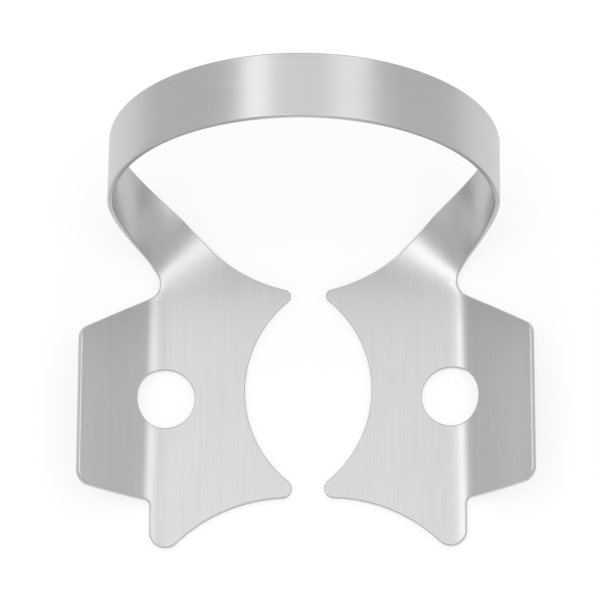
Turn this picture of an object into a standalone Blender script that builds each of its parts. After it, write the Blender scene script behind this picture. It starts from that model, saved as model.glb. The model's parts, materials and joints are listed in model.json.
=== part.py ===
"""Winged molar clamp for a rubber dam: one blank of spring steel sheet, punched and folded.

One half of the blank is drawn flat, with its thickness and its rounded rim, and folded up:
the wing along a line through the forceps hole, the arm along a slanted line behind the
jaw. From the end of that fold the arm is swept on as a twisting band with the same
section, into a round bow that leans back over the tooth. The half is then mirrored.

Every size is in millimetres. X runs across the jaws and is zero in the middle, Y runs
back towards the bow and is zero on the line through the two holes, Z is up.
"""

import math

import bmesh
import bpy
from mathutils import Matrix, Vector

MM = 0.001

# Sheet
SHEET = 0.35
RIM_ROUND = 0.09

# Forceps holes
HOLE_RADIUS = 1.78
HOLE_X = 8.56

# Jaw: three arcs meet in two prongs
GUM_ARC_RADIUS = 7.2
GUM_ARC_X = 3.78
GUM_ARC_Y = 0.47
BACK_ARC_RADIUS = 9.5
BACK_ARC_X = -0.88
BACK_ARC_Y = 6.42
FRONT_ARC_RADIUS = 9.5
FRONT_ARC_X = 1.2
FRONT_ARC_Y = -6.13
BACK_PRONG_ROUND = 0.4
FRONT_PRONG_ROUND = 0.6

# Front tab
TAB_EDGE_X = 9.42
TAB_ROUND = 0.95
TAB_CORNER_ROUND = 0.35

# Wing, in the flat blank
WING_REACH = 14.45
WING_BACK_Y = 6.74
WING_BACK_SLOPE = -27.9
WING_FRONT_Y = -6.2
WING_FRONT_SLOPE = 6.0
WING_CORNER_ROUND = 0.9
NOTCH_ROUND = 1.0

# Wing fold: a firm bend, then a slight curl of the whole wing
WING_FOLD_BACK_X = 8.52
WING_FOLD_FRONT_X = 8.75
WING_FOLD_RADIUS = 2.4
WING_FOLD_ANGLE = 31.0
WING_CURL_RADIUS = 19.0
WING_CURL_ANGLE = 14.0

# Arm root: two straight edges, across which the sheet folds up, tighter at the notch
ARM_EDGE_X = 5.85
ARM_FRONT_X = 8.99
ARM_FRONT_Y = 7.53
ARM_FRONT_TURN = 55.0
ARM_CREASE_X = 6.65
ARM_CREASE_TURN = 46.0
ARM_BACK_RADIUS = 3.5
ARM_NOTCH_RADIUS = 1.8
ARM_LIFT = 39.0

# Bow: a round band whose axis leans back
BOW_RADIUS = 11.43
BOW_WIDTH = 4.06
BOW_Y = 12.24
BOW_Z = 5.55
BOW_LEAN = 10.1
BOW_START = 3.0

# How firmly the arm keeps its direction as it leaves the fold, and as it meets the bow
ARM_PULL = 1.6
BOW_PULL = 7.3

# Facets
ARC_STEP = 0.5
ROUND_STEP = 15.0
HOLE_FACETS = 40
FOLD_FACETS = 8
CURL_FACETS = 6
ARM_FACETS = 18
BOW_FACETS = 26
ACROSS_FACETS = 3
RIM_FACETS = 2
SHORTEST_EDGE = 0.03

STEEL_COLOUR = (0.60, 0.60, 0.59, 1.0)
STEEL_ROUGHNESS = 0.32


def clear_objects():
    """Empty the scene, so that the model stands alone."""
    for item in list(bpy.data.objects):
        bpy.data.objects.remove(item, do_unlink=True)


def direction(degrees):
    """Unit vector in the plan, turned from +X."""
    angle = math.radians(degrees)
    return Vector((math.cos(angle), math.sin(angle)))


def turned(vector):
    """The plan vector a quarter turn to the left."""
    return Vector((-vector.y, vector.x))


def angle_of(vector):
    """Angle of a plan vector from +X, in degrees."""
    return math.degrees(math.atan2(vector.y, vector.x))


def arc(centre, radius, start, end, step):
    """Points along an arc from one angle to another, both ends included, all in degrees."""
    count = max(2, math.ceil(abs(end - start) / step))
    angles = [start + (end - start) * i / count for i in range(count + 1)]
    return [centre + radius * direction(angle) for angle in angles]


def hollow_arc(centre, radius, start_point, end_point):
    """A large arc cut into the outline, clockwise between two of its own points."""
    start = angle_of(start_point - centre)
    sweep = (start - angle_of(end_point - centre)) % 360.0
    return arc(centre, radius, start, start - sweep, math.degrees(ARC_STEP / radius))


def round_end(centre, radius, start_point, end_point):
    """The rounded end of a prong or tab, anticlockwise between two touching points."""
    start = angle_of(start_point - centre)
    sweep = (angle_of(end_point - centre) - start) % 360.0
    return arc(centre, radius, start, start + sweep, ROUND_STEP)


def crossing(point_a, along_a, point_b, along_b):
    """Where two lines cross in the plan."""
    gap = point_b - point_a
    return point_a + along_a * (gap.cross(along_b) / along_a.cross(along_b))


def corner_centre(before, point, after, radius):
    """Centre of the circle that rounds the corner at point."""
    to_before = (before - point).normalized()
    to_after = (after - point).normalized()
    half = 0.5 * to_before.angle(to_after)
    return point + (to_before + to_after).normalized() * (radius / math.sin(half))


def corner(before, point, after, radius):
    """Round the corner at point, between the lines to the points before and after it."""
    centre = corner_centre(before, point, after, radius)
    to_before = (before - point).normalized()
    to_after = (after - point).normalized()
    first = point + to_before * to_before.dot(centre - point)
    last = point + to_after * to_after.dot(centre - point)
    start = angle_of(first - centre)
    sweep = (angle_of(last - centre) - start + 180.0) % 360.0 - 180.0
    return arc(centre, radius, start, start + sweep, ROUND_STEP)


def circle_crossing(centre_a, radius_a, centre_b, radius_b):
    """The crossing of two circles that lies to the right of the line from a to b."""
    gap = centre_b - centre_a
    along = (gap.length_squared + radius_a ** 2 - radius_b ** 2) / (2.0 * gap.length)
    aside = math.sqrt(radius_a ** 2 - along ** 2)
    unit = gap.normalized()
    return centre_a + unit * along - turned(unit) * aside


class Fold:
    """A round bend of the sheet about a line in the plan."""

    def __init__(self, point, across, radius, degrees):
        """A point on the line where it starts, the way across it, its middle radius and its angle."""
        self.point = point.to_3d()
        self.across = across.to_3d()
        self.radius = radius
        self.angle = math.radians(degrees)
        self.length = radius * self.angle

    def cuts(self, facets):
        """Lines at which the bend is faceted, each as a point and the way across it."""
        steps = [self.length * i / facets for i in range(facets + 1)]
        return [(self.point + self.across * step, self.across) for step in steps]

    def bend(self, position):
        """Where a point of the blank goes when the sheet beyond the line is bent up."""
        travel = (position - self.point).dot(self.across)
        if travel <= 0.0:
            return position
        turn = min(travel / self.radius, self.angle)
        beyond = max(travel - self.length, 0.0)
        arm = self.radius - position.z
        out = arm * math.sin(turn) + beyond * math.cos(turn) - travel
        moved = position + self.across * out
        moved.z = self.radius - arm * math.cos(turn) + beyond * math.sin(turn)
        return moved


class ConeFold:
    """A bend that is tighter at one end of its crease, as on a cone whose tip lies past that end.

    The crease is where the two flat sides would meet.
    """

    def __init__(self, wide_end, tight_end, wide_radius, tight_radius, degrees):
        """Both ends of the crease, the bend's radius at each, and how far it lifts the sheet."""
        along = (wide_end - tight_end).normalized()
        self.taper = (wide_radius - tight_radius) / (wide_end - tight_end).length
        slant = math.sqrt(1.0 - self.taper ** 2)
        self.tip = wide_end - along * (wide_radius / self.taper)
        self.swing = 2.0 * math.asin(math.sin(math.radians(0.5 * degrees)) / slant)
        self.wedge = self.swing * self.taper
        ahead = math.atan(self.taper * math.tan(0.5 * self.swing))
        self.first_angle = angle_of(along) + math.degrees(ahead)
        self.axis = self.line(0.0).to_3d() * slant + Vector((0.0, 0.0, self.taper))

    def line(self, share):
        """The direction from the tip along the line at a share of the bend, in the blank."""
        return direction(self.first_angle - math.degrees(self.wedge * share))

    def cuts(self, facets):
        """Lines at which the bend is faceted, each as a point and the way across it."""
        return [(self.tip, -turned(self.line(i / facets))) for i in range(facets + 1)]

    def carry(self, share):
        """The turn of the sheet at a share of the bend: back to its first line, then round the cone."""
        back = Matrix.Rotation(self.wedge * share, 3, "Z")
        return Matrix.Rotation(-self.swing * share, 3, self.axis) @ back

    def bend(self, position):
        """Where a point of the blank goes when the sheet beyond the first line is bent up."""
        first = self.line(0.0)
        spoke = position.to_2d() - self.tip
        passed = math.atan2(-turned(first).dot(spoke), first.dot(spoke))
        if passed <= 0.0:
            return position
        tip = self.tip.to_3d()
        return tip + self.carry(min(passed / self.wedge, 1.0)) @ (position - tip)


GUM_CENTRE = Vector((GUM_ARC_X - GUM_ARC_RADIUS, GUM_ARC_Y))
BACK_CENTRE = Vector((BACK_ARC_X, BACK_ARC_Y + BACK_ARC_RADIUS))
FRONT_CENTRE = Vector((FRONT_ARC_X, FRONT_ARC_Y - FRONT_ARC_RADIUS))
HOLE_CENTRE = Vector((HOLE_X, 0.0))


def arm_sides():
    """The arm root's back edge and front edge in the blank, each as a point and a direction."""
    reach = ARM_EDGE_X - BACK_CENTRE.x
    start = Vector((ARM_EDGE_X, BACK_CENTRE.y - math.sqrt(BACK_ARC_RADIUS ** 2 - reach ** 2)))
    back_way = turned((start - BACK_CENTRE).normalized())
    return (start, back_way), (Vector((ARM_FRONT_X, ARM_FRONT_Y)), direction(ARM_FRONT_TURN))


def arm_fold():
    """The fold that lifts the arm off the jaw, tighter at the notch than at the back edge."""
    back_side, front_side = arm_sides()
    start, way = back_side
    wide_end = start + way * ((ARM_CREASE_X - start.x) / way.x)
    tight_end = crossing(*front_side, wide_end, turned(direction(ARM_CREASE_TURN)))
    return ConeFold(wide_end, tight_end, ARM_BACK_RADIUS, ARM_NOTCH_RADIUS, ARM_LIFT)


def arm_ends():
    """Where the fold ends on the arm's back edge and on its front edge."""
    fold = arm_fold()
    return [crossing(*side, fold.tip, fold.line(1.0)) for side in arm_sides()]


def jaw_edge():
    """Outline of the jaw from the arm's back edge, round both prongs, to the tab's outer edge."""
    back_prong = circle_crossing(
        GUM_CENTRE, GUM_ARC_RADIUS + BACK_PRONG_ROUND,
        BACK_CENTRE, BACK_ARC_RADIUS + BACK_PRONG_ROUND)
    front_prong = circle_crossing(
        FRONT_CENTRE, FRONT_ARC_RADIUS + FRONT_PRONG_ROUND,
        GUM_CENTRE, GUM_ARC_RADIUS + FRONT_PRONG_ROUND)
    tab_x = TAB_EDGE_X - TAB_ROUND
    tab_rise = math.sqrt((FRONT_ARC_RADIUS + TAB_ROUND) ** 2 - (tab_x - FRONT_CENTRE.x) ** 2)
    tab = Vector((tab_x, FRONT_CENTRE.y + tab_rise))
    back_end = BACK_CENTRE + (back_prong - BACK_CENTRE).normalized() * BACK_ARC_RADIUS
    gum_start = GUM_CENTRE + (back_prong - GUM_CENTRE).normalized() * GUM_ARC_RADIUS
    gum_end = GUM_CENTRE + (front_prong - GUM_CENTRE).normalized() * GUM_ARC_RADIUS
    front_start = FRONT_CENTRE + (front_prong - FRONT_CENTRE).normalized() * FRONT_ARC_RADIUS
    front_end = FRONT_CENTRE + (tab - FRONT_CENTRE).normalized() * FRONT_ARC_RADIUS
    points = hollow_arc(BACK_CENTRE, BACK_ARC_RADIUS, arm_sides()[0][0], back_end)
    points += round_end(back_prong, BACK_PRONG_ROUND, back_end, gum_start)
    points += hollow_arc(GUM_CENTRE, GUM_ARC_RADIUS, gum_start, gum_end)
    points += round_end(front_prong, FRONT_PRONG_ROUND, gum_end, front_start)
    points += hollow_arc(FRONT_CENTRE, FRONT_ARC_RADIUS, front_start, front_end)
    points += round_end(tab, TAB_ROUND, front_end, tab + Vector((TAB_ROUND, 0.0)))
    return points


def wing_corners():
    """Corners of the wing before rounding: foot of the tab, front, outer front, outer back, notch, arm."""
    front_way = direction(WING_FRONT_SLOPE)
    back_way = direction(WING_BACK_SLOPE)
    outward = Vector((0.0, 1.0))
    reach = Vector((WING_REACH, 0.0))
    front_inner = Vector((TAB_EDGE_X, WING_FRONT_Y))
    arm_end = arm_ends()[1]
    notch = crossing(Vector((HOLE_X, WING_BACK_Y)), back_way, arm_end, direction(ARM_FRONT_TURN))
    front_outer = crossing(reach, outward, front_inner, front_way)
    back_outer = crossing(reach, outward, notch, back_way)
    return front_inner - outward, front_inner, front_outer, back_outer, notch, arm_end


def notch_centre():
    """Centre of the rounding between wing and arm; no wing lies behind it."""
    corners = wing_corners()
    return corner_centre(corners[3], corners[4], corners[5], NOTCH_ROUND)


def wing_edge():
    """Outline of the wing from the tab's outer edge round to the arm's front edge."""
    corners = wing_corners()
    rounds = (TAB_CORNER_ROUND, WING_CORNER_ROUND, WING_CORNER_ROUND, NOTCH_ROUND)
    points = []
    for i, radius in enumerate(rounds):
        points += corner(corners[i], corners[i + 1], corners[i + 2], radius)
    return points


def blank_chain():
    """The whole edge of one half of the blank, from the arm's back edge to its front edge."""
    back, front = arm_ends()
    chain = [back]
    for point in jaw_edge() + wing_edge() + [front]:
        if (point - chain[-1]).length > SHORTEST_EDGE:
            chain.append(point)
    return chain


def inset_chain(chain, inset):
    """The chain moved into the sheet; its two ends slide along the arm's end row."""
    row = (chain[-1] - chain[0]).normalized()
    moved = [chain[0] + row * inset]
    for i in range(1, len(chain) - 1):
        along = (chain[i] - chain[i - 1]).normalized() + (chain[i + 1] - chain[i]).normalized()
        moved.append(chain[i] + turned(along.normalized()) * inset)
    moved.append(chain[-1] - row * inset)
    return moved


def rim_profile():
    """Inset and height of the lines round a rim, from the upper face to the lower face."""
    upper = []
    for i in range(RIM_FACETS + 1):
        angle = math.radians(90.0 * i / RIM_FACETS)
        inset = RIM_ROUND * (1.0 - math.sin(angle))
        upper.append((inset, 0.5 * SHEET - RIM_ROUND * (1.0 - math.cos(angle))))
    return upper + [(inset, -height) for inset, height in reversed(upper)]


def add_line(mesh, points, height):
    """Vertices for plan points at one height."""
    return [mesh.verts.new((point.x, point.y, height)) for point in points]


def join_lines(mesh, first, second, closed):
    """A strip of quads between two lines of vertices."""
    for i in range(len(first) - 1 + int(closed)):
        j = (i + 1) % len(first)
        mesh.faces.new((first[i], first[j], second[j], second[i]))


def fill_face(mesh, edge_line, hole_line, height):
    """The flat face inside a line round the blank, outside a line round the hole."""
    front = edge_line[-1].co.to_2d()
    back = edge_line[0].co.to_2d()
    between = [front.lerp(back, i / ACROSS_FACETS) for i in range(1, ACROSS_FACETS)]
    edges = []
    for loop in (edge_line + add_line(mesh, between, height), hole_line):
        for i, vert in enumerate(loop):
            pair = (loop[i - 1], vert)
            edges.append(mesh.edges.get(pair) or mesh.edges.new(pair))
    bmesh.ops.triangle_fill(mesh, use_beauty=True, edges=edges)


def add_blank(mesh):
    """One half of the flat blank as a solid with a rounded rim, open where the arm goes on."""
    chain = blank_chain()
    edge_lines = []
    hole_lines = []
    for inset, height in rim_profile():
        hole = arc(HOLE_CENTRE, HOLE_RADIUS + inset, 0.0, 360.0, 360.0 / HOLE_FACETS)[:-1]
        edge_lines.append(add_line(mesh, inset_chain(chain, inset), height))
        hole_lines.append(add_line(mesh, hole, height))
    for i in range(len(edge_lines) - 1):
        join_lines(mesh, edge_lines[i], edge_lines[i + 1], False)
        join_lines(mesh, hole_lines[i], hole_lines[i + 1], True)
    fill_face(mesh, edge_lines[0], hole_lines[0], 0.5 * SHEET)
    fill_face(mesh, edge_lines[-1], hole_lines[-1], -0.5 * SHEET)


def score(mesh, faces, point, normal):
    """Cut some faces of the blank along a line, so that a fold has edges to bend at."""
    edges = {edge for face in faces for edge in face.edges}
    verts = {vert for face in faces for vert in face.verts}
    bmesh.ops.bisect_plane(
        mesh, geom=list(faces) + list(edges) + list(verts), dist=0.5 * SHORTEST_EDGE,
        plane_co=(point.x, point.y, 0.0), plane_no=(normal.x, normal.y, 0.0))


def wing_folds():
    """The fold of the wing, and its curl from the end of that fold."""
    back = Vector((WING_FOLD_BACK_X, WING_BACK_Y))
    front = Vector((WING_FOLD_FRONT_X, WING_FRONT_Y))
    across = turned((front - back).normalized())
    fold = Fold(back, across, WING_FOLD_RADIUS, WING_FOLD_ANGLE)
    curl = Fold(back + across * fold.length, across, WING_CURL_RADIUS, WING_CURL_ANGLE)
    return fold, curl


def fold_blank(mesh):
    """Fold the wing, then lift the arm. Behind the notch there is only the arm."""
    fold, curl = wing_folds()
    lift = arm_fold()
    notch = notch_centre()
    score(mesh, mesh.faces[:], notch, Vector((0.0, 1.0)))
    for bend, facets in ((fold, FOLD_FACETS), (curl, CURL_FACETS)):
        for point, across in bend.cuts(facets):
            wing_side = [face for face in mesh.faces if face.calc_center_median().y < notch.y]
            score(mesh, wing_side, point, across)
    for point, across in lift.cuts(FOLD_FACETS)[:-1]:
        score(mesh, mesh.faces[:], point, across)
    bmesh.ops.remove_doubles(mesh, verts=mesh.verts, dist=SHORTEST_EDGE)
    for vert in mesh.verts:
        position = vert.co.copy()
        if position.y < notch.y:
            position = fold.bend(curl.bend(position))
        vert.co = lift.bend(position)


class Bow:
    """The round band over the tooth: its circle leans back, its two edges lie beside it."""

    def __init__(self):
        """Directions up the circle and along its axis, and its centre above the sheet's middle."""
        lean = math.radians(BOW_LEAN)
        self.rise = Vector((0.0, math.sin(lean), math.cos(lean)))
        self.axis = Vector((0.0, math.cos(lean), -math.sin(lean)))
        self.centre = Vector((0.0, BOW_Y, BOW_Z - 0.5 * SHEET))

    def point(self, side, degrees):
        """A point on the back edge (side 1) or front edge (side -1), by its angle above the widest line."""
        angle = math.radians(degrees)
        spoke = Vector((math.cos(angle), 0.0, 0.0)) + self.rise * math.sin(angle)
        return self.centre + self.axis * (0.5 * side * BOW_WIDTH) + spoke * BOW_RADIUS

    def way(self, degrees):
        """The direction in which the bow climbs at an angle."""
        angle = math.radians(degrees)
        return Vector((-math.sin(angle), 0.0, 0.0)) + self.rise * math.cos(angle)


def smooth_run(start, start_pull, end, end_pull, share):
    """A point on the smooth curve that leaves start and meets end with the given pulls."""
    back_share = 1.0 - share
    leave = start * (1.0 + 2.0 * share) + start_pull * share
    meet = end * (1.0 + 2.0 * back_share) - end_pull * back_share
    return leave * back_share ** 2 + meet * share ** 2


def band_edges():
    """Back and front edge of the band, point by point, from the fold to the top of the bow."""
    bow = Bow()
    lift = arm_fold()
    meet = bow.way(BOW_START) * BOW_PULL
    edges = []
    for side, root, (_, way) in zip((1, -1), arm_ends(), arm_sides()):
        start = lift.bend(root.to_3d())
        pull = lift.carry(1.0) @ way.to_3d() * ARM_PULL
        end = bow.point(side, BOW_START)
        line = [smooth_run(start, pull, end, meet, i / ARM_FACETS) for i in range(ARM_FACETS)]
        for i in range(BOW_FACETS + 1):
            line.append(bow.point(side, BOW_START + (90.0 - BOW_START) * i / BOW_FACETS))
        edges.append(line)
    return edges


def section(back, front, back_up, front_up):
    """Points round the band's section, from its back edge over the upper face and back below."""
    across = (front - back).normalized()
    profile = rim_profile()
    shares = [i / ACROSS_FACETS for i in range(ACROSS_FACETS + 1)]
    ring = []
    for inset, height in (profile[0], profile[-1]):
        first = back + across * inset + back_up * height
        last = front - across * inset + front_up * height
        ring.append([first.lerp(last, share) for share in shares])
    front_rim = [front - across * inset + front_up * height for inset, height in profile[1:-1]]
    back_rim = [back + across * inset + back_up * height for inset, height in profile[1:-1]]
    return ring[0] + front_rim + ring[1][::-1] + back_rim[::-1]


def add_band(mesh):
    """Arm and half bow: the section swept along both edges, joined to the folded blank."""
    back_edge, front_edge = band_edges()
    lift = arm_fold()
    last = len(back_edge) - 1
    previous = None
    for i in range(last + 1):
        across = front_edge[i] - back_edge[i]
        ups = []
        for line in (back_edge, front_edge):
            way = line[min(i + 1, last)] - line[max(i - 1, 0)]
            ups.append(across.cross(way).normalized())
        if i == 0:
            ups = [lift.carry(1.0) @ Vector((0.0, 0.0, 1.0))] * 2
        if i == last:
            ups = [Bow().rise * -1.0] * 2
        ring = [mesh.verts.new(point) for point in section(back_edge[i], front_edge[i], *ups)]
        if previous:
            join_lines(mesh, previous, ring, True)
        previous = ring
    for vert in previous:
        vert.co.x = 0.0
    bmesh.ops.remove_doubles(mesh, verts=mesh.verts, dist=0.1 * SHORTEST_EDGE)


def half_clamp():
    """One half of the clamp as a mesh in metres, its jaw resting on zero height."""
    mesh = bmesh.new()
    add_blank(mesh)
    fold_blank(mesh)
    add_band(mesh)
    bmesh.ops.recalc_face_normals(mesh, faces=mesh.faces)
    depths = [vert.co.y for vert in mesh.verts]
    middle = 0.5 * (min(depths) + max(depths))
    for vert in mesh.verts:
        vert.co = (vert.co + Vector((0.0, -middle, 0.5 * SHEET))) * MM
    data = bpy.data.meshes.new("clamp")
    mesh.to_mesh(data)
    mesh.free()
    return data


def spring_steel():
    """Brushed stainless spring steel."""
    material = bpy.data.materials.new("spring_steel")
    material.use_nodes = True
    shader = material.node_tree.nodes["Principled BSDF"]
    shader.inputs["Base Color"].default_value = STEEL_COLOUR
    shader.inputs["Metallic"].default_value = 1.0
    shader.inputs["Roughness"].default_value = STEEL_ROUGHNESS
    return material


def make_clamp():
    """The finished clamp as one object: the half, its mirror image, and even shading."""
    data = half_clamp()
    data.materials.append(spring_steel())
    data.shade_smooth()
    clamp = bpy.data.objects.new("clamp", data)
    bpy.context.scene.collection.objects.link(clamp)
    mirror = clamp.modifiers.new("other_half", "MIRROR")
    mirror.use_axis = (True, False, False)
    mirror.merge_threshold = 0.00001
    clamp.modifiers.new("even_shading", "WEIGHTED_NORMAL")


clear_objects()
make_clamp()
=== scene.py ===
"""Looks of a winged clamp for a rubber dam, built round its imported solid.

The clamp is one blank of spring steel sheet, punched, folded and brushed. Its shown mesh is
made as the real one is: half of the blank is drawn flat with its thickness and deburred rim,
the wing and the arm are folded, the bow is swept on, and the other half mirrors it. Every
point also keeps its place in the flat blank, which is where the brushing was done.

The clamp's own sizes are in millimetres and degrees; Blender's are in metres. X runs across
the jaws, Y from the front tabs back to the bow, Z up.
"""

import json
import logging
import math
from abc import ABC, abstractmethod
from dataclasses import dataclass
from enum import Enum
from functools import cached_property
from typing import ClassVar

import bmesh
import bpy
from mathutils import Matrix, Vector

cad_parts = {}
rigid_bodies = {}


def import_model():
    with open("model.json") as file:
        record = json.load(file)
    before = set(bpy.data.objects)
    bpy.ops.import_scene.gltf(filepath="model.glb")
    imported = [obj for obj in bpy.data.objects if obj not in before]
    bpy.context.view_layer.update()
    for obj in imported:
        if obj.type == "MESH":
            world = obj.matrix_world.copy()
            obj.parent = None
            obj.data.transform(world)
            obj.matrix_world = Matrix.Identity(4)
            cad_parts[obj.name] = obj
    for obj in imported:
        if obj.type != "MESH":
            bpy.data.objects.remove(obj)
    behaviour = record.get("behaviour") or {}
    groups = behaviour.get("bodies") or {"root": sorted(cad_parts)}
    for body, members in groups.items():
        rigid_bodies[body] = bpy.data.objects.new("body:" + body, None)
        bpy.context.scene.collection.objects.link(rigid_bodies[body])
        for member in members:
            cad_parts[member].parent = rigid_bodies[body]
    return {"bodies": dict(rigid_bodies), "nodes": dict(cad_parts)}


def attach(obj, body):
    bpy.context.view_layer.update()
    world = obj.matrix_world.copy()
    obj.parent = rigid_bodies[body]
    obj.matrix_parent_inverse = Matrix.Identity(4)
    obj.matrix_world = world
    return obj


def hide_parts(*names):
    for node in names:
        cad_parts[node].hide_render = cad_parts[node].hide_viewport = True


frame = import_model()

MM = 0.001
CAD_NODE = "clamp"
BODY = "root"
GRAIN_MAP = "brushing"
ON_MIRROR = 1e-9  # metres; a point nearer to the middle plane than this lies on it
UP = Vector((0.0, 0.0, 1.0)).freeze()
Line = list[bmesh.types.BMVert]
log = logging.getLogger("rubber_dam_clamp")


class Edge(Enum):
    """The two long edges of the arm and the bow, by their side along the bow's axis."""

    BACK = 1
    FRONT = -1


def linear(hex_colour: str) -> tuple[float, float, float, float]:
    """Turn an sRGB hex colour into a linear one.

    Args:
        hex_colour: Six hex digits after a hash sign.

    Returns:
        Red, green, blue and alpha, linear.
    """
    levels = [int(hex_colour[i : i + 2], 16) / 255.0 for i in (1, 3, 5)]
    # The numbers are those of the sRGB curve.
    straight = [c / 12.92 if c <= 0.04045 else ((c + 0.055) / 1.055) ** 2.4 for c in levels]
    return (straight[0], straight[1], straight[2], 1.0)


def add_node(tree: bpy.types.NodeTree, kind: str, settings: dict | None = None,
             links: dict | None = None) -> bpy.types.Node:
    """Add a node, set its properties and sockets, and link its inputs.

    Args:
        tree: The node tree to add to.
        kind: The node's type name.
        settings: Values by property name, or by input name or index.
        links: Output sockets by input name or index.

    Returns:
        The new node.
    """
    node = tree.nodes.new(kind)
    for name, value in (settings or {}).items():
        if isinstance(name, str) and hasattr(node, name):
            setattr(node, name, value)
        else:
            node.inputs[name].default_value = value
    for name, socket in (links or {}).items():
        tree.links.new(socket, node.inputs[name])
    return node


def plan_direction(degrees: float) -> Vector:
    """Unit vector in the plan of the blank, turned from +X."""
    angle = math.radians(degrees)
    return Vector((math.cos(angle), math.sin(angle)))


def turned_left(vector: Vector) -> Vector:
    """The plan vector a quarter turn to the left."""
    return Vector((-vector.y, vector.x))


def angle_of(vector: Vector) -> float:
    """Angle of a plan vector from +X, in degrees."""
    return math.degrees(math.atan2(vector.y, vector.x))


def smooth_step(share: float) -> float:
    """A rise from 0 to 1 that starts and ends level."""
    return share * share * (3.0 - 2.0 * share)


def crossing(point_a: Vector, along_a: Vector, point_b: Vector, along_b: Vector) -> Vector:
    """Where two lines cross in the plan, each given by a point and its direction."""
    gap = point_b - point_a
    return point_a + along_a * (gap.cross(along_b) / along_a.cross(along_b))


def facing(backward: Vector) -> Matrix:
    """Right, up and backward of what looks against a direction, as the columns of a matrix."""
    right = Vector((0.0, 1.0, 0.0)).cross(backward).normalized()
    return Matrix((right, backward.cross(right), backward)).transposed()


def add_object(name: str, data: bpy.types.ID) -> bpy.types.Object:
    """Put an object into the scene.

    Args:
        name: The object's name.
        data: Its mesh, lamp or camera.

    Returns:
        The object.
    """
    thing = bpy.data.objects.new(name, data)
    bpy.context.scene.collection.objects.link(thing)
    return thing


@dataclass(frozen=True)
class Circle:
    """A circle in the plan of the blank, for the punched arcs and rounded corners."""

    x: float
    y: float
    radius: float

    @property
    def centre(self) -> Vector:
        """The circle's centre."""
        return Vector((self.x, self.y))

    def towards(self, point: Vector) -> Vector:
        """The point of the circle nearest to another point."""
        return self.centre + (point - self.centre).normalized() * self.radius

    def arc(self, start: float, sweep: float, step: float) -> list[Vector]:
        """Points along an arc, both ends included, with at least one between them.

        Args:
            start: The first point's angle, in degrees.
            sweep: How far to turn, in degrees, anticlockwise if positive.
            step: The greatest turn between two points, in degrees.

        Returns:
            The arc's points in order.
        """
        count = max(2, math.ceil(abs(sweep) / step))
        angles = [start + sweep * i / count for i in range(count + 1)]
        return [self.centre + self.radius * plan_direction(angle) for angle in angles]

    def arc_between(self, first: Vector, last: Vector, clockwise: bool, step: float) -> list[Vector]:
        """Points along the arc between two of the circle's own points.

        Args:
            first: Where the arc starts.
            last: Where it ends.
            clockwise: Which way round it runs.
            step: The greatest turn between two points, in degrees.

        Returns:
            The arc's points in order.
        """
        start = angle_of(first - self.centre)
        sweep = (angle_of(last - self.centre) - start) % 360.0
        return self.arc(start, sweep - 360.0 if clockwise else sweep, step)

    def rolling_stop(self, other: "Circle", radius: float) -> "Circle":
        """The small circle that touches this one and another, right of the line between them.

        Args:
            other: The circle on the far side of the prong.
            radius: The small circle's radius.

        Returns:
            The small circle.
        """
        gap = other.centre - self.centre
        reach = self.radius + radius
        along = (gap.length_squared + reach**2 - (other.radius + radius) ** 2) / (2.0 * gap.length)
        aside = math.sqrt(reach**2 - along**2)
        unit = gap.normalized()
        place = self.centre + unit * along - turned_left(unit) * aside
        return Circle(place.x, place.y, radius)


@dataclass(frozen=True)
class Corner:
    """A corner of the outline and the radius that rounds it."""

    before: Vector
    point: Vector
    after: Vector
    radius: float

    def circle(self) -> Circle:
        """Fit the rounding into the corner.

        Returns:
            The circle that touches both of the corner's lines.
        """
        to_before = (self.before - self.point).normalized()
        to_after = (self.after - self.point).normalized()
        half = 0.5 * to_before.angle(to_after)
        centre = self.point + (to_before + to_after).normalized() * (self.radius / math.sin(half))
        return Circle(centre.x, centre.y, self.radius)

    def points(self, step: float) -> list[Vector]:
        """Points along the rounding, from the first line to the second.

        Args:
            step: The greatest turn between two points, in degrees.

        Returns:
            The points, both ends included.
        """
        circle = self.circle()
        spokes = []
        for other in (self.before, self.after):
            along = (other - self.point).normalized()
            foot = self.point + along * along.dot(circle.centre - self.point)
            spokes.append(angle_of(foot - circle.centre))
        sweep = (spokes[1] - spokes[0] + 180.0) % 360.0 - 180.0
        return circle.arc(spokes[0], sweep, step)


@dataclass(frozen=True)
class Sheet:
    """The spring steel sheet and how finely its mesh is cut, in millimetres and degrees."""

    thickness: float = 0.35
    rim_round: float = 0.09
    rim_facets: int = 4
    arc_step: float = 0.2
    round_step: float = 6.0
    hole_step: float = 3.75
    shortest_edge: float = 0.012
    seam_reach: float = 0.0012
    across_facets: int = 12

    def rim(self) -> list[tuple[float, float, float]]:
        """The deburred rim's lines, from the upper face to the lower face.

        Returns:
            For each line its inset, its height and the lift of its normal in degrees.
        """
        upper = []
        for i in range(self.rim_facets + 1):
            lift = 90.0 * (1.0 - i / self.rim_facets)
            drop = self.rim_round * (1.0 - math.sin(math.radians(lift)))
            inset = self.rim_round * (1.0 - math.cos(math.radians(lift)))
            upper.append((inset, 0.5 * self.thickness - drop, lift))
        return upper + [(inset, -height, -lift) for inset, height, lift in reversed(upper)]


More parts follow.
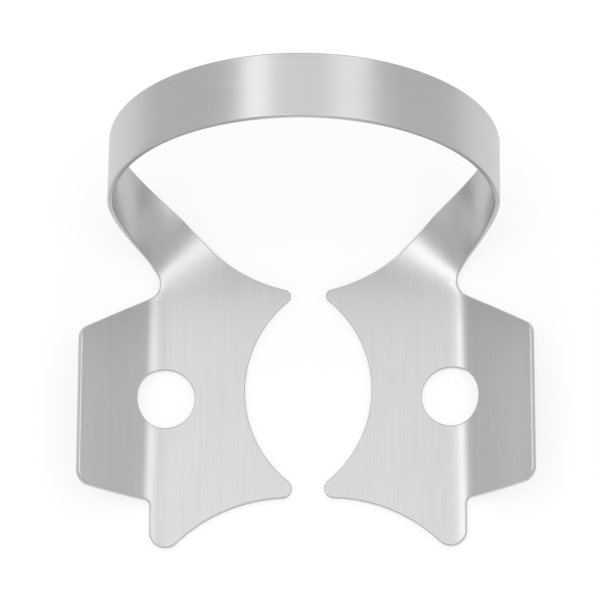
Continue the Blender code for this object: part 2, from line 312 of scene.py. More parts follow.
class SoftBend(ABC):
    """A pressed bend, which the sheet eases into from the jaw.

    It is made of many small folds along its lines, which fade in over a stretch at its start.
    A share of the bend counts from 0 to 1 for the even bend of the same turn. The soft one
    starts its softness below 0, and is fully tight from the same share above 0.
    """

    SMALL_FOLDS: ClassVar[int] = 240
    softness: float

    @property
    @abstractmethod
    def turn(self) -> float:
        """How far the sheet turns about the bend's own lines, in radians."""

    @abstractmethod
    def line(self, share: float) -> tuple[Vector, Vector]:
        """One of the bend's lines, as a point and the way across."""

    @abstractmethod
    def share_at(self, position: Vector) -> float:
        """The share of the bend at which a point of the flat sheet lies."""

    @property
    def span(self) -> float:
        """How long the soft bend is, against the even one."""
        return 1.0 + self.softness

    def tightness(self, share: float) -> float:
        """How tight the bend is at a share of it, against the even one."""
        return smooth_step(min(1.0, 0.5 + 0.5 * share / self.softness)) if self.softness else 1.0

    @cached_property
    def turns(self) -> list[Matrix]:
        """Where the sheet is carried to, before the bend and after each of its small folds.

        Returns:
            One matrix more than there are small folds.
        """
        step = self.span / self.SMALL_FOLDS
        turns = [Matrix.Identity(4)]
        for i in range(self.SMALL_FOLDS):
            share = (i + 0.5) * step - self.softness
            point, across = self.line(share)
            axis = across.to_3d().cross(UP)
            place = Matrix.Translation(point.to_3d())
            turn = Matrix.Rotation(self.turn * self.tightness(share) * step, 4, axis)
            turns.append(turns[-1] @ place @ turn @ place.inverted())
        return turns

    def cuts(self, facets: int) -> list[tuple[Vector, Vector]]:
        """Lines at which the bend is cut into facets, each as a point and the way across."""
        return [self.line(self.span * i / facets - self.softness) for i in range(facets + 1)]

    def bend(self, position: Vector, normal: Vector) -> tuple[Vector, Vector]:
        """Move a point of the sheet to where the bend puts it.

        Args:
            position: The point before this bend.
            normal: The surface normal there.

        Returns:
            The point and the normal after the bend.
        """
        done = (self.share_at(position) + self.softness) / self.span
        turn = self.turns[round(min(max(done, 0.0), 1.0) * self.SMALL_FOLDS)]
        return turn @ position, turn.to_3x3() @ normal


@dataclass(frozen=True)
class Fold(SoftBend):
    """A round bend of the sheet about a line in the plan."""

    point: Vector
    across: Vector
    radius: float
    degrees: float
    softness: float

    @property
    def turn(self) -> float:
        """How far the sheet turns, in radians."""
        return math.radians(self.degrees)

    @property
    def length(self) -> float:
        """How much of the flat sheet the even bend takes up."""
        return self.radius * self.turn

    def line(self, share: float) -> tuple[Vector, Vector]:
        """One of the bend's lines, as a point and the way across."""
        return self.point + self.across * (self.length * share), self.across

    def share_at(self, position: Vector) -> float:
        """The share of the bend at which a point of the flat sheet lies."""
        return (position.to_2d() - self.point).dot(self.across) / self.length


@dataclass(frozen=True)
class ConeFold(SoftBend):
    """A bend that is tighter at one end of its crease, which makes it part of a cone.

    The crease is where the two flat sides would meet. The bend's own lines run together at
    the cone's tip, past the tight end.
    """

    wide_end: Vector
    tight_end: Vector
    wide_radius: float
    tight_radius: float
    degrees: float
    softness: float

    @property
    def taper(self) -> float:
        """How fast the radius grows along the bend."""
        return (self.wide_radius - self.tight_radius) / (self.wide_end - self.tight_end).length

    @property
    def tip(self) -> Vector:
        """The cone's tip in the plan."""
        along = (self.wide_end - self.tight_end).normalized()
        return self.wide_end - along * (self.wide_radius / self.taper)

    @property
    def slant(self) -> float:
        """Cosine of the cone's half angle."""
        return math.sqrt(1.0 - self.taper**2)

    @property
    def swing(self) -> float:
        """How far the sheet turns about the cone's axis, in radians."""
        return 2.0 * math.asin(math.sin(math.radians(0.5 * self.degrees)) / self.slant)

    @property
    def turn(self) -> float:
        """How far the sheet turns about the bend's own lines, in radians."""
        return self.swing * self.slant

    @property
    def wedge(self) -> float:
        """The angle of flat sheet that the even bend takes up, in radians."""
        return self.swing * self.taper

    def spoke(self, share: float) -> Vector:
        """The direction from the tip along one of the bend's lines."""
        ahead = math.atan(self.taper * math.tan(0.5 * self.swing)) - self.wedge * share
        return plan_direction(angle_of(self.wide_end - self.tight_end) + math.degrees(ahead))

    def line(self, share: float) -> tuple[Vector, Vector]:
        """One of the bend's lines, as a point and the way across."""
        return self.tip, -turned_left(self.spoke(share))

    def share_at(self, position: Vector) -> float:
        """Measure how far round the tip a point of the flat sheet lies.

        Args:
            position: The point.

        Returns:
            The share of the bend.
        """
        out = position.to_2d() - self.tip
        first = self.spoke(0.0)
        return math.atan2(-turned_left(first).dot(out), first.dot(out)) / self.wedge


@dataclass(frozen=True)
class Jaw:
    """The flat jaw: gum arc, two side arcs, two prongs and the front tab."""

    gum: Circle = Circle(-3.42, 0.47, 7.2)
    back: Circle = Circle(-0.88, 15.92, 9.5)
    front: Circle = Circle(1.2, -15.63, 9.5)
    back_prong_round: float = 0.4
    front_prong_round: float = 0.6
    tab_x: float = 9.42
    tab_round: float = 0.95
    hole: Circle = Circle(8.56, 0.0, 1.78)

    def tab(self) -> Circle:
        """Fit the tab's round tip between the front arc and the tab's outer edge.

        Returns:
            The tip's circle.
        """
        x = self.tab_x - self.tab_round
        rise = math.sqrt((self.front.radius + self.tab_round) ** 2 - (x - self.front.x) ** 2)
        return Circle(x, self.front.y + rise, self.tab_round)

    def edge(self, start: Vector, sheet: Sheet) -> list[Vector]:
        """Outline from the arm's back edge round both prongs to the tab's outer edge.

        Args:
            start: The point of the back arc where the arm begins.
            sheet: The sheet, for how finely arcs are cut.

        Returns:
            The outline's points in order.
        """
        back_tip = self.gum.rolling_stop(self.back, self.back_prong_round)
        front_tip = self.front.rolling_stop(self.gum, self.front_prong_round)
        tab = self.tab()
        stretches = (
            (self.back, back_tip, self.gum.towards(back_tip.centre)),
            (self.gum, front_tip, self.front.towards(front_tip.centre)),
            (self.front, tab, Vector((self.tab_x, tab.y))),
        )
        points = []
        here = start
        for arc, tip, end in stretches:
            touch = arc.towards(tip.centre)
            points += arc.arc_between(here, touch, True, math.degrees(sheet.arc_step / arc.radius))
            points += tip.arc_between(touch, end, False, sheet.round_step)
            here = end
        return points


@dataclass(frozen=True)
class Arm:
    """The arm's root on the jaw, its fold, and its twisting run up to the bow.

    The pulls are how long the arm's edges hold their direction out of the fold and into the bow.
    """

    edge_x: float = 5.85
    crease_x: float = 6.65
    crease_turn: float = 46.0
    back_radius: float = 3.5
    notch_radius: float = 1.8
    lift: float = 39.0
    softness: float = 1.0
    front_x: float = 8.99
    front_y: float = 7.53
    front_turn: float = 55.0
    leave_pull: float = 2.2
    meet_pull: float = 7.3
    fold_facets: int = 28
    rows: int = 56

    def edge_start(self, jaw: Jaw) -> Vector:
        """Where the jaw's back arc runs straight on as the arm's back edge."""
        reach = self.edge_x - jaw.back.x
        return Vector((self.edge_x, jaw.back.y - math.sqrt(jaw.back.radius**2 - reach**2)))

    def edges(self, jaw: Jaw) -> dict[Edge, tuple[Vector, Vector]]:
        """Lay out both straight edges of the arm's root in the blank.

        Args:
            jaw: The jaw that the arm grows from.

        Returns:
            For the back and the front edge, a point and the direction up the arm.
        """
        start = self.edge_start(jaw)
        return {
            Edge.BACK: (start, turned_left((start - jaw.back.centre).normalized())),
            Edge.FRONT: (Vector((self.front_x, self.front_y)), plan_direction(self.front_turn)),
        }

    def fold(self, jaw: Jaw) -> ConeFold:
        """The fold that lifts the arm, tighter at the notch than at the back edge.

        Args:
            jaw: The jaw that the arm grows from.

        Returns:
            The fold.
        """
        edges = self.edges(jaw)
        start, way = edges[Edge.BACK]
        wide_end = start + way * ((self.crease_x - start.x) / way.x)
        along = turned_left(plan_direction(self.crease_turn))
        tight_end = crossing(*edges[Edge.FRONT], wide_end, along)
        return ConeFold(wide_end, tight_end, self.back_radius, self.notch_radius, self.lift, self.softness)

    def root(self, jaw: Jaw) -> dict[Edge, tuple[Vector, Vector]]:
        """For the back and the front edge, where the fold ends in the blank, and its direction."""
        fold = self.fold(jaw)
        return {edge: (crossing(point, way, fold.tip, fold.spoke(1.0)), way)
                for edge, (point, way) in self.edges(jaw).items()}


@dataclass(frozen=True)
class Wing:
    """The wing: a trapezoid with rounded corners, bent up along the hole and slightly curled."""

    reach: float = 14.45
    back_y: float = 6.74
    back_slope: float = -27.9
    front_y: float = -6.2
    front_slope: float = 6.0
    corner_round: float = 0.9
    tab_corner_round: float = 0.35
    notch_round: float = 1.0
    fold_back_x: float = 8.52
    fold_front_x: float = 8.75
    fold_radius: float = 2.4
    fold_degrees: float = 31.0
    fold_softness: float = 0.6
    curl_radius: float = 19.0
    curl_degrees: float = 14.0
    fold_facets: int = 28
    curl_facets: int = 12

    def corners(self, jaw: Jaw, arm_edge: tuple[Vector, Vector]) -> list[Corner]:
        """The wing's three corners and the notch behind it.

        Args:
            jaw: The jaw that carries the wing.
            arm_edge: The end of the arm's front edge in the blank, and the edge's direction.

        Returns:
            Tab corner, front corner, back corner and notch, in order round the blank.
        """
        outward = Vector((0.0, 1.0))
        outer = Vector((self.reach, 0.0))
        inner = Vector((jaw.tab_x, self.front_y))
        back_start = Vector((jaw.hole.x, self.back_y))
        notch = crossing(back_start, plan_direction(self.back_slope), *arm_edge)
        front = crossing(outer, outward, inner, plan_direction(self.front_slope))
        back = crossing(outer, outward, notch, plan_direction(self.back_slope))
        line = [inner - outward, inner, front, back, notch, arm_edge[0]]
        rounds = (self.tab_corner_round, self.corner_round, self.corner_round, self.notch_round)
        return [Corner(*line[i : i + 3], radius) for i, radius in enumerate(rounds)]

    def folds(self) -> tuple[Fold, Fold]:
        """Lay out the wing's two bends.

        Returns:
            The wing's fold, and its curl from the end of that fold.
        """
        back = Vector((self.fold_back_x, self.back_y))
        front = Vector((self.fold_front_x, self.front_y))
        across = turned_left((front - back).normalized())
        fold = Fold(back, across, self.fold_radius, self.fold_degrees, self.fold_softness)
        curl_start = back + across * fold.length
        return fold, Fold(curl_start, across, self.curl_radius, self.curl_degrees, 0.0)


@dataclass(frozen=True)
class Bow:
    """The round bow: a band on a circle that leans back over the tooth."""

    radius: float = 11.43
    width: float = 4.06
    y: float = 12.24
    z: float = 5.55
    lean: float = 10.1
    start: float = 3.0
    rows: int = 100

    @property
    def rise(self) -> Vector:
        """The way up the leaning circle."""
        lean = math.radians(self.lean)
        return Vector((0.0, math.sin(lean), math.cos(lean)))

    @property
    def axis(self) -> Vector:
        """The circle's axis, towards the back."""
        lean = math.radians(self.lean)
        return Vector((0.0, math.cos(lean), -math.sin(lean)))

    def point(self, edge: Edge, degrees: float, sheet: Sheet) -> Vector:
        """A point on one edge of the band.

        Args:
            edge: The back or the front edge.
            degrees: The angle above the circle's widest line.
            sheet: The sheet, whose middle is the height that the jaws are drawn at.

        Returns:
            The point, above the middle of the jaw's sheet.
        """
        centre = Vector((0.0, self.y, self.z - 0.5 * sheet.thickness))
        centre += self.axis * (0.5 * edge.value * self.width)
        angle = math.radians(degrees)
        return centre + (Vector((math.cos(angle), 0.0, 0.0)) + self.rise * math.sin(angle)) * self.radius

    def way(self, degrees: float) -> Vector:
        """The direction in which the bow climbs at an angle."""
        angle = math.radians(degrees)
        return Vector((-math.sin(angle), 0.0, 0.0)) + self.rise * math.cos(angle)


class HalfMesh:
    """A mesh under construction whose points also know their normal and their place in the blank."""

    def __init__(self) -> None:
        """Start an empty mesh with a layer for normals and one for places in the blank."""
        self.mesh = bmesh.new()
        self.normal = self.mesh.verts.layers.float_vector.new("normal")
        self.plan = self.mesh.verts.layers.float_vector.new("plan")

    def add(self, position: Vector, normal: Vector, plan: Vector) -> bmesh.types.BMVert:
        """Add one point.

        Args:
            position: Where it is.
            normal: The surface normal there.
            plan: Its place in the flat blank.

        Returns:
            The new vertex.
        """
        vert = self.mesh.verts.new(position)
        vert[self.normal] = normal
        vert[self.plan] = plan.to_3d()
        return vert

    def join(self, first: Line, second: Line, closed: bool) -> None:
        """Lay a strip of quads between two lines of vertices.

        Args:
            first: The first line.
            second: The second line, as long as the first.
            closed: Whether both lines close on themselves.
        """
        for i in range(len(first) - 1 + int(closed)):
            j = (i + 1) % len(first)
            self.mesh.faces.new((first[i], first[j], second[j], second[i]))

    def fill(self, loops: list[Line]) -> None:
        """Fill a flat face with triangles.

        Args:
            loops: The vertices of its outline and of its hole, each in order.
        """
        edges = []
        for loop in loops:
            for i, vert in enumerate(loop):
                pair = (loop[i - 1], vert)
                edges.append(self.mesh.edges.get(pair) or self.mesh.edges.new(pair))
        bmesh.ops.triangle_fill(self.mesh, use_beauty=True, edges=edges)

    def score(self, faces: list[bmesh.types.BMFace], point: Vector, normal: Vector, reach: float) -> None:
        """Cut faces along a line, so that a fold has edges to bend at.

        Args:
            faces: The faces to cut.
            point: A point on the line.
            normal: The plan direction across the line.
            reach: How near a vertex may lie to count as on the line.
        """
        edges = {edge for face in faces for edge in face.edges}
        verts = {vert for face in faces for vert in face.verts}
        bmesh.ops.bisect_plane(
            self.mesh, geom=list(faces) + list(edges) + list(verts), dist=reach,
            plane_co=point.to_3d(), plane_no=normal.to_3d())


@dataclass
class Blank:
    """One half of the punched blank, from the tab to the end of the arm's fold."""

    half: HalfMesh
    sheet: Sheet
    jaw: Jaw
    wing: Wing
    arm: Arm

    def chain(self) -> list[Vector]:
        """The punched edge, from the arm's back edge round to its front edge.

        Returns:
            The outline's points; the arm's end row closes it.
        """
        root = self.arm.root(self.jaw)
        corners = self.wing.corners(self.jaw, root[Edge.FRONT])
        outline = self.jaw.edge(self.arm.edge_start(self.jaw), self.sheet)
        for corner in corners:
            outline += corner.points(self.sheet.round_step)
        chain = [root[Edge.BACK][0]]
        for point in outline + [root[Edge.FRONT][0]]:
            if (point - chain[-1]).length > self.sheet.shortest_edge:
                chain.append(point)
        return chain

    def inset(self, chain: list[Vector], depth: float) -> list[tuple[Vector, Vector]]:
        """Move the punched edge into the sheet.

        Args:
            chain: The punched edge.
            depth: How far to move it; its two ends slide along the arm's end row.

        Returns:
            The moved points, each with the outward direction there.
        """
        row = (chain[-1] - chain[0]).normalized()
        outward = [-row]
        for i in range(1, len(chain) - 1):
            along = (chain[i] - chain[i - 1]).normalized() + (chain[i + 1] - chain[i]).normalized()
            outward.append(-turned_left(along.normalized()))
        outward.append(row)
        return [(point - out * depth, out) for point, out in zip(chain, outward)]

    def lay_out(self) -> None:
        """Draw the flat blank as a solid with a deburred rim, open where the arm goes on."""
        chain = self.chain()
        rims = []
        bores = []
        for inset, height, lift in self.sheet.rim():
            side = math.cos(math.radians(lift))
            up = UP * math.sin(math.radians(lift))
            bore = Circle(self.jaw.hole.x, self.jaw.hole.y, self.jaw.hole.radius + inset)
            ring = bore.arc(0.0, 360.0, self.sheet.hole_step)[:-1]
            inward = [(point, (bore.centre - point).normalized()) for point in ring]
            for lines, spots in ((rims, self.inset(chain, inset)), (bores, inward)):
                line = []
                for point, out in spots:
                    position = point.to_3d() + UP * height
                    line.append(self.half.add(position, out.to_3d() * side + up, point))
                lines.append(line)
        for i in range(len(rims) - 1):
            self.half.join(rims[i], rims[i + 1], False)
            self.half.join(bores[i], bores[i + 1], True)
        for i in (0, -1):
            self.half.fill([rims[i] + self.end_row(rims[i]), bores[i]])

    def end_row(self, rim: Line) -> Line:
        """Add the arm's end row between the two ends of a rim line.

        Args:
            rim: The rim line.

        Returns:
            The row's vertices, without the rim's own.
        """
        first, last = rim[-1], rim[0]
        row = []
        for i in range(1, self.sheet.across_facets):
            place = first.co.lerp(last.co, i / self.sheet.across_facets)
            row.append(self.half.add(place, UP * math.copysign(1.0, place.z), place.to_2d()))
        return row

    def fold(self) -> None:
        """Fold the wing, then lift the arm. Behind the notch there is only the arm."""
        half = self.half
        fold, curl = self.wing.folds()
        lift = self.arm.fold(self.jaw)
        corners = self.wing.corners(self.jaw, self.arm.root(self.jaw)[Edge.FRONT])
        notch = corners[-1].circle().centre
        reach = 0.5 * self.sheet.shortest_edge
        half.score(half.mesh.faces[:], notch, Vector((0.0, 1.0)), reach)
        for bend, facets in ((fold, self.wing.fold_facets), (curl, self.wing.curl_facets)):
            for point, across in bend.cuts(facets):
                wing_side = [face for face in half.mesh.faces if face.calc_center_median().y < notch.y]
                half.score(wing_side, point, across, reach)
        for point, across in lift.cuts(self.arm.fold_facets)[:-1]:
            half.score(half.mesh.faces[:], point, across, reach)
        bmesh.ops.remove_doubles(half.mesh, verts=half.mesh.verts, dist=self.sheet.shortest_edge)
        for vert in half.mesh.verts:
            position, normal = vert.co.copy(), vert[half.normal].normalized()
            vert[half.plan] = position.to_2d().to_3d()
            if position.y < notch.y:
                position, normal = fold.bend(*curl.bend(position, normal))
            vert.co, vert[half.normal] = lift.bend(position, normal)


@dataclass
class Band:
    """The arm and half of the bow, swept on from the end of the arm's fold."""

    half: HalfMesh
    sheet: Sheet
    jaw: Jaw
    arm: Arm
    bow: Bow

    def edges(self) -> dict[Edge, list[Vector]]:
        """Both long edges of the band, from the fold's end to the top of the bow.

        Returns:
            A list of points for each edge, with the same number of points.
        """
        lift = self.arm.fold(self.jaw)
        meet = self.bow.way(self.bow.start) * self.arm.meet_pull
        lines = {}
        for edge, (root, way) in self.arm.root(self.jaw).items():
            start, _ = lift.bend(root.to_3d(), UP)
            leave = lift.turns[-1].to_3x3() @ way.to_3d() * self.arm.leave_pull
            end = self.bow.point(edge, self.bow.start, self.sheet)
            line = []
            # The arm's edges are Hermite curves.
            for i in range(self.arm.rows):
                share = i / self.arm.rows
                rest = 1.0 - share
                first = start * (1.0 + 2.0 * share) + leave * share
                last = end * (1.0 + 2.0 * rest) - meet * rest
                line.append(first * rest**2 + last * share**2)
            for i in range(self.bow.rows + 1):
                degrees = self.bow.start + (90.0 - self.bow.start) * i / self.bow.rows
                line.append(self.bow.point(edge, degrees, self.sheet))
            lines[edge] = line
        return lines

    def plan_line(self, lines: dict[Edge, list[Vector]]) -> list[tuple[Vector, Vector]]:
        """Unroll the band's middle line into the blank, bending it until it runs along +Y.

        Args:
            lines: Both long edges of the band.

        Returns:
            For each row its middle in the blank, and the direction from back to front there.
        """
        back_end, front_end = (end for end, _ in self.arm.root(self.jaw).values())
        place = back_end.lerp(front_end, 0.5)
        leave = angle_of(turned_left(front_end - back_end))
        middles = [back.lerp(front, 0.5) for back, front in zip(lines[Edge.BACK], lines[Edge.FRONT])]
        rows = []
        for i, middle in enumerate(middles):
            share = min(1.0, i / self.arm.rows)
            way = plan_direction(leave + (90.0 - leave) * smooth_step(share))
            if i:
                place = place + way * (middle - middles[i - 1]).length
            rows.append((place, -turned_left(way)))
        return rows

    def ups(self, lines: dict[Edge, list[Vector]], i: int) -> list[Vector]:
        """Work out how the upper face of the band is turned on a row.

        Args:
            lines: Both long edges of the band.
            i: The row.

        Returns:
            The face's normals at the back edge and at the front edge.
        """
        last = len(lines[Edge.BACK]) - 1
        if i == 0:
            return [self.arm.fold(self.jaw).turns[-1].to_3x3() @ UP] * 2
        if i == last:
            return [-self.bow.rise] * 2
        across = lines[Edge.FRONT][i] - lines[Edge.BACK][i]
        return [across.cross(line[i + 1] - line[i - 1]).normalized() for line in lines.values()]

    def ring(self, back: Vector, front: Vector, ups: list[Vector], plan: tuple[Vector, Vector]) -> Line:
        """Add one closed section of the band.

        Args:
            back: The back edge's point.
            front: The front edge's point.
            ups: The upper face's normals at the back and the front edge.
            plan: The row's middle in the blank and its direction from back to front.

        Returns:
            The section's vertices in order.
        """
        width = (front - back).length
        across = (front - back) / width
        rim = self.sheet.rim()
        facets = self.sheet.across_facets
        inset, height, _ = rim[0]
        reaches = [inset + (width - 2.0 * inset) * (i / facets) for i in range(facets + 1)]
        spots = [(reach, height, 90.0, 0) for reach in reaches]
        spots += [(width - reach, rise, lift, 1) for reach, rise, lift in rim[1:-1]]
        spots += [(reach, -height, -90.0, 0) for reach in reversed(reaches)]
        spots += [(reach, rise, lift, -1) for reach, rise, lift in rim[-2:0:-1]]
        ring = []
        for reach, rise, lift, side in spots:
            up = ups[0].lerp(ups[1], reach / width).normalized()
            angle = math.radians(lift)
            normal = up * math.sin(angle) + across * (side * math.cos(angle))
            place = plan[0] + plan[1] * (reach - 0.5 * width)
            ring.append(self.half.add(back + across * reach + up * rise, normal, place))
        return ring

    def sweep(self) -> float:
        """Sweep the section along both edges, joined to the folded blank.

        Returns:
            The place of the bow's top along the flat blank.
        """
        lines = self.edges()
        plans = self.plan_line(lines)
        previous = None
        for i, plan in enumerate(plans):
            back, front = lines[Edge.BACK][i], lines[Edge.FRONT][i]
            ring = self.ring(back, front, self.ups(lines, i), plan)
            if previous:
                self.half.join(previous, ring, True)
            previous = ring
        for vert in previous:
            vert.co.x = 0.0
        mesh = self.half.mesh
        bmesh.ops.remove_doubles(mesh, verts=mesh.verts, dist=self.sheet.seam_reach)
        return plans[-1][0].y


@dataclass(frozen=True)
class BrushedSpringSteel:
    """Stainless spring steel strip, belt-brushed before it was punched, then deburred.

    The belt leaves fine straight scratches along the strip, which spread a highlight across
    them and keep it narrower along them: the eye sees a satin grey with a faint straight grain,
    and a bend shows as one soft bright band. A real scratch is about 0.02 mm wide, which is too
    fine to show, so the drawn ones are coarser.
    """

    light: str = "#C9C9C7"
    dark: str = "#C1C1C0"
    roughness_low: float = 0.27
    roughness_high: float = 0.36
    anisotropy: float = 0.2
    scratch_width_mm: float = 0.06
    scratch_length_mm: float = 5.0
    scratch_depth_mm: float = 0.002
    scratch_strength: float = 0.3
    scratch_share: float = 0.7
    streak_width_mm: float = 0.30
    streak_length_mm: float = 18.0
    smudge_mm: float = 3.5
    smudge_share: float = 0.5
    fine_detail: float = 3.0
    coarse_detail: float = 2.0
    noise_roughness: float = 0.55
    noise_low: float = 0.3
    noise_high: float = 0.7

    def pattern(self, tree: bpy.types.NodeTree, width: float, length: float,
                detail: float) -> tuple[bpy.types.NodeSocket, bpy.types.NodeSocket]:
        """A noise drawn out along the brushing.

        Args:
            tree: The material's node tree.
            width: Size across the brushing, in millimetres.
            length: Size along the brushing, in millimetres.
            detail: How many finer layers it has.

        Returns:
            The noise itself, and the middle of its range stretched to run from 0 to 1.
        """
        place = add_node(tree, "ShaderNodeUVMap", {"uv_map": GRAIN_MAP})
        scaled = add_node(
            tree, "ShaderNodeMapping", {"Scale": (1.0 / width, 1.0 / length, 1.0)},
            {"Vector": place.outputs["UV"]})
        noise = add_node(
            tree, "ShaderNodeTexNoise", {"Scale": 1.0, "Detail": detail, "Roughness": self.noise_roughness},
            {"Vector": scaled.outputs["Vector"]})
        stretched = add_node(
            tree, "ShaderNodeMapRange", {"From Min": self.noise_low, "From Max": self.noise_high},
            {"Value": noise.outputs["Fac"]})
        return noise.outputs["Fac"], stretched.outputs["Result"]

    def material(self) -> bpy.types.Material:
        """Make the material.

        Returns:
            Brushed stainless spring steel.
        """
        steel = bpy.data.materials.new("belt_brushed_stainless_spring_steel")
        steel.use_nodes = True
        tree = steel.node_tree
        shader = tree.nodes["Principled BSDF"]
        height, scratches = self.pattern(
            tree, self.scratch_width_mm, self.scratch_length_mm, self.fine_detail)
        _, streaks = self.pattern(tree, self.streak_width_mm, self.streak_length_mm, self.coarse_detail)
        _, smudges = self.pattern(tree, self.smudge_mm, 2.0 * self.smudge_mm, self.coarse_detail)
        # Input 0 of a Mix node is its share, 2 and 3 are its numbers, and 6 and 7 its colours.
        tone = add_node(tree, "ShaderNodeMix", {0: self.scratch_share}, {2: streaks, 3: scratches})
        colour = add_node(
            tree, "ShaderNodeMix", {"data_type": "RGBA", 6: linear(self.dark), 7: linear(self.light)},
            {0: tone.outputs[0]})
        wear = add_node(tree, "ShaderNodeMix", {0: self.smudge_share}, {2: scratches, 3: smudges})
        rough = add_node(
            tree, "ShaderNodeMix", {2: self.roughness_low, 3: self.roughness_high},
            {0: wear.outputs[0]})
        bump = add_node(
            tree, "ShaderNodeBump",
            {"Strength": self.scratch_strength, "Distance": self.scratch_depth_mm * MM},
            {"Height": height})
        tangent = add_node(tree, "ShaderNodeTangent", {"direction_type": "UV_MAP", "uv_map": GRAIN_MAP})
        shader.inputs["Metallic"].default_value = 1.0
        shader.inputs["Anisotropic"].default_value = self.anisotropy
        tree.links.new(colour.outputs[2], shader.inputs["Base Color"])
        tree.links.new(rough.outputs[0], shader.inputs["Roughness"])
        tree.links.new(bump.outputs["Normal"], shader.inputs["Normal"])
        tree.links.new(tangent.outputs["Tangent"], shader.inputs["Tangent"])
        return steel


@dataclass
class Clamp:
    """The whole clamp: a folded half and its mirror image, in brushed steel."""

    sheet: Sheet = Sheet()
    jaw: Jaw = Jaw()
    wing: Wing = Wing()
    arm: Arm = Arm()
    bow: Bow = Bow()
    finish: BrushedSpringSteel = BrushedSpringSteel()

    def half(self) -> tuple[HalfMesh, float]:
        """Build the right half.

        Returns:
            The half, and the place of the bow's top along the flat blank.
        """
        half = HalfMesh()
        blank = Blank(half, self.sheet, self.jaw, self.wing, self.arm)
        blank.lay_out()
        blank.fold()
        return half, Band(half, self.sheet, self.jaw, self.arm, self.bow).sweep()

    def mesh(self) -> bpy.types.Mesh:
        """Mirror the half into one closed mesh with true normals and the blank's map.

        Returns:
            The clamp's mesh, in metres, centred on its box with its jaws on zero height.
        """
        half, top = self.half()
        half.mesh.normal_update()
        depths = [vert.co.y for vert in half.mesh.verts]
        shift = Vector((0.0, -0.5 * (min(depths) + max(depths)), 0.5 * self.sheet.thickness))
        flip = Vector((-1.0, 1.0, 1.0))
        points, normals, places = [], [], []
        mirrored = {}
        for vert in half.mesh.verts:
            points.append((vert.co + shift) * MM)
            normals.append(vert[half.normal].normalized())
            places.append(vert[half.plan].to_2d())
        count = len(points)
        for i in range(count):
            if abs(points[i].x) < ON_MIRROR:
                mirrored[i] = i
                continue
            mirrored[i] = len(points)
            points.append(points[i] * flip)
            normals.append(normals[i] * flip)
            places.append(Vector((places[i].x, 2.0 * top - places[i].y)))
        faces = []
        for face in half.mesh.faces:
            ring = [vert.index for vert in face.verts]
            outward = sum((normals[i] for i in ring), Vector())
            if face.normal.dot(outward) < 0.0:
                ring.reverse()
            faces += [ring, [mirrored[i] for i in reversed(ring)]]
        half.mesh.free()
        data = bpy.data.meshes.new("brushed_clamp")
        data.from_pydata(points, [], faces)
        grain = data.uv_layers.new(name=GRAIN_MAP)
        for loop in data.loops:
            grain.data[loop.index].uv = places[loop.vertex_index]
        data.shade_smooth()
        data.normals_split_custom_set_from_vertices(normals)
        return data

    def build(self) -> bpy.types.Object:
        """Make the clamp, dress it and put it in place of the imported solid.

        Returns:
            The clamp.
        """
        clamp = add_object("brushed_clamp", self.mesh())
        clamp.data.materials.append(self.finish.material())
        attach(clamp, BODY)
        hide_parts(CAD_NODE)
        return clamp


@dataclass(frozen=True)
class SoftBox:
    """A soft lamp that points at the clamp, with its place and size in metres."""

    name: str
    place: tuple[float, float, float]
    size: tuple[float, float]
    radiance: float

    def build(self) -> bpy.types.Object:
        """Hang the lamp. Its power is its radiance times pi times its area.

        Returns:
            The lamp.
        """
        data = bpy.data.lights.new(self.name, "AREA")
        data.shape = "RECTANGLE"
        data.size, data.size_y = self.size
        data.energy = self.radiance * math.pi * self.size[0] * self.size[1]
        place = Vector(self.place)
        lamp = add_object(self.name, data)
        lamp.matrix_world = Matrix.Translation(place) @ facing(place.normalized()).to_4x4()
        return lamp


@dataclass(frozen=True)
class BackgroundPaper:
    """Matt background paper with a painted pool of light, white near the clamp, with sizes in metres.

    Its fibres scatter light evenly, so the eye sees a plain pale ground with a soft shadow.
    The camera and the steel see its shaded colour with the clamp's shadow on it, under a painted light
    that is brightest near the clamp and fades outward. All other light meets plain pale paper.
    """

    colour: str = "#F4F4F4"
    shown_colour: str = "#959595"
    near_reach: float = 0.03
    far_reach: float = 0.08
    # Painted pool of light: how strongly the paper glows near the clamp and far from it.
    painted_pool_near: float = 0.70
    painted_pool_far: float = 0.40

    def material(self) -> bpy.types.Material:
        """Make the material.

        Returns:
            The paper.
        """
        paper = bpy.data.materials.new("matt_background_paper_painted_pool")
        paper.use_nodes = True
        tree = paper.node_tree
        tree.nodes.clear()
        path = add_node(tree, "ShaderNodeLightPath")
        seen = add_node(
            tree, "ShaderNodeMath", {"operation": "MAXIMUM"},
            {0: path.outputs["Is Camera Ray"], 1: path.outputs["Is Glossy Ray"]})
        place = add_node(tree, "ShaderNodeTexCoord")
        distance = add_node(
            tree, "ShaderNodeVectorMath", {"operation": "LENGTH"}, {0: place.outputs["Object"]})
        # Painted pool of light: the paper glows brightest near the clamp and fades further out, for the
        # camera and the steel.
        pool = add_node(
            tree, "ShaderNodeMapRange",
            {"interpolation_type": "SMOOTHSTEP", "From Min": self.near_reach, "From Max": self.far_reach,
             "To Min": self.painted_pool_near, "To Max": self.painted_pool_far},
            {"Value": distance.outputs["Value"]})
        painted_glow = add_node(tree, "ShaderNodeEmission", {}, {"Strength": pool.outputs["Result"]})
        shaded = add_node(tree, "ShaderNodeBsdfDiffuse", {"Color": linear(self.shown_colour)})
        shown = add_node(tree, "ShaderNodeAddShader", {}, {0: shaded.outputs[0], 1: painted_glow.outputs[0]})
        plain = add_node(tree, "ShaderNodeBsdfDiffuse", {"Color": linear(self.colour)})
        mixed = add_node(
            tree, "ShaderNodeMixShader", {},
            {0: seen.outputs["Value"], 1: plain.outputs[0], 2: shown.outputs[0]})
        add_node(tree, "ShaderNodeOutputMaterial", {}, {"Surface": mixed.outputs[0]})
        return paper


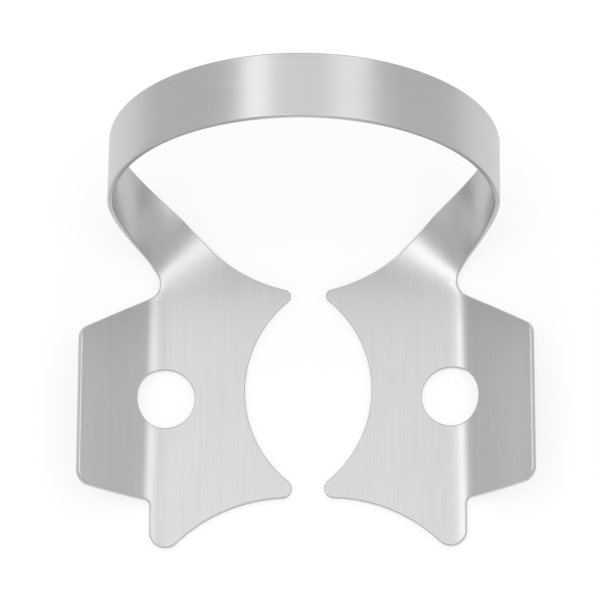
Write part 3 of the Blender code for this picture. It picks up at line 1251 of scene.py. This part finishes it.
@dataclass
class Studio:
    """Pale paper floor, soft boxes and an even pale surround, in metres."""

    floor_half_size: float = 1.5
    floor_drop: float = 0.00002
    paper: BackgroundPaper = BackgroundPaper()
    surround: float = 0.73
    boxes: tuple[SoftBox, ...] = (
        SoftBox("overhead_box", (0.0, 0.32, 0.60), (0.26, 0.36), 0.46),
        SoftBox("left_box", (-0.272, 0.25, 0.535), (0.17, 0.50), 1.42),
        SoftBox("right_box", (0.309, 0.15, 0.514), (0.26, 0.70), 0.90),
        SoftBox("front_box", (0.0, -0.09, 0.60), (0.46, 0.24), 0.45),
        SoftBox("left_front_strip", (-0.150, -0.03, 0.580), (0.18, 0.30), 1.25),
        SoftBox("right_front_strip", (0.140, -0.03, 0.583), (0.14, 0.30), 0.85),
        SoftBox("left_corner_box", (-0.30, -0.10, 0.50), (0.16, 0.25), 0.40),
        SoftBox("right_corner_box", (0.30, -0.10, 0.50), (0.16, 0.25), 0.40),
        SoftBox("left_card", (-0.60, 0.07, 0.09), (0.16, 0.38), 0.22),
        SoftBox("right_card", (0.60, 0.07, 0.09), (0.16, 0.38), 0.22),
    )

    def floor(self) -> bpy.types.Object:
        """Lay the floor under the jaws.

        Returns:
            The floor.
        """
        reach = self.floor_half_size
        corners = [(x * reach, y * reach, 0.0) for x, y in ((-1, -1), (1, -1), (1, 1), (-1, 1))]
        data = bpy.data.meshes.new("floor")
        data.from_pydata(corners, [], [range(4)])
        data.materials.append(self.paper.material())
        floor = add_object("floor", data)
        floor.location.z = -self.floor_drop
        return floor

    def world(self) -> None:
        """Set the pale surround that lights the clamp from every side."""
        world = bpy.data.worlds.new("pale_surround")
        world.use_nodes = True
        back = world.node_tree.nodes["Background"]
        back.inputs["Color"].default_value = (1.0, 1.0, 1.0, 1.0)
        back.inputs["Strength"].default_value = self.surround
        bpy.context.scene.world = world

    def build(self) -> list[bpy.types.Object]:
        """Set up the surround, the floor and the lamps, and return the last two."""
        self.world()
        return [self.floor()] + [box.build() for box in self.boxes]


@dataclass(frozen=True)
class Camera:
    """The photograph's view: from above the jaws, a little from the front and the right.

    Its lens is as many millimetres long as it is far away, so its sensor is as wide as the
    field that it sees. Angles are in degrees and lengths in millimetres.
    """

    tilt: float = 15.28
    turn: float = 2.94
    roll: float = 0.18
    aim: tuple[float, float, float] = (-0.501, 2.443, 0.35)
    distance: float = 274.4
    field_width: float = 36.0
    clip_start: float = 10.0

    def axes(self) -> Matrix:
        """Work out which way the camera looks.

        Returns:
            Its right, up and backward directions, as the columns of a matrix.
        """
        tilt, turn, roll = (math.radians(angle) for angle in (self.tilt, self.turn, self.roll))
        backward = Vector((math.sin(turn), -math.sin(tilt) * math.cos(turn), math.cos(tilt) * math.cos(turn)))
        return facing(backward) @ Matrix.Rotation(roll, 3, "Z")

    def build(self) -> bpy.types.Object:
        """Place the camera.

        Returns:
            The camera, set as the scene's own.
        """
        data = bpy.data.cameras.new("photograph")
        data.sensor_width = self.field_width
        data.lens = self.distance
        data.clip_start = self.clip_start * MM
        axes = self.axes()
        place = (Vector(self.aim) + axes.col[2] * self.distance) * MM
        camera = add_object("photograph", data)
        camera.matrix_world = Matrix.Translation(place) @ axes.to_4x4()
        bpy.context.scene.camera = camera
        return camera


def clear_start_scene() -> None:
    """Remove what a new file holds besides the frame."""
    kept = set(frame["nodes"].values()) | set(frame["bodies"].values())
    for thing in list(bpy.data.objects):
        if thing not in kept:
            bpy.data.objects.remove(thing, do_unlink=True)


def main() -> None:
    """Build the clamp, the studio and the camera."""
    logging.basicConfig(level=logging.INFO, format="%(name)s: %(message)s")
    clear_start_scene()
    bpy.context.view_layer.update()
    for piece in (Camera().build(), *Studio().build()):
        log.info("%s: placed %.3f m from the clamp", piece.name, piece.matrix_world.translation.length)
    clamp = Clamp().build()
    log.info("%s: %d vertices, %d faces", clamp.name, len(clamp.data.vertices), len(clamp.data.polygons))
    bpy.context.scene.view_settings.view_transform = "Standard"


if __name__ == "__main__":
    main()
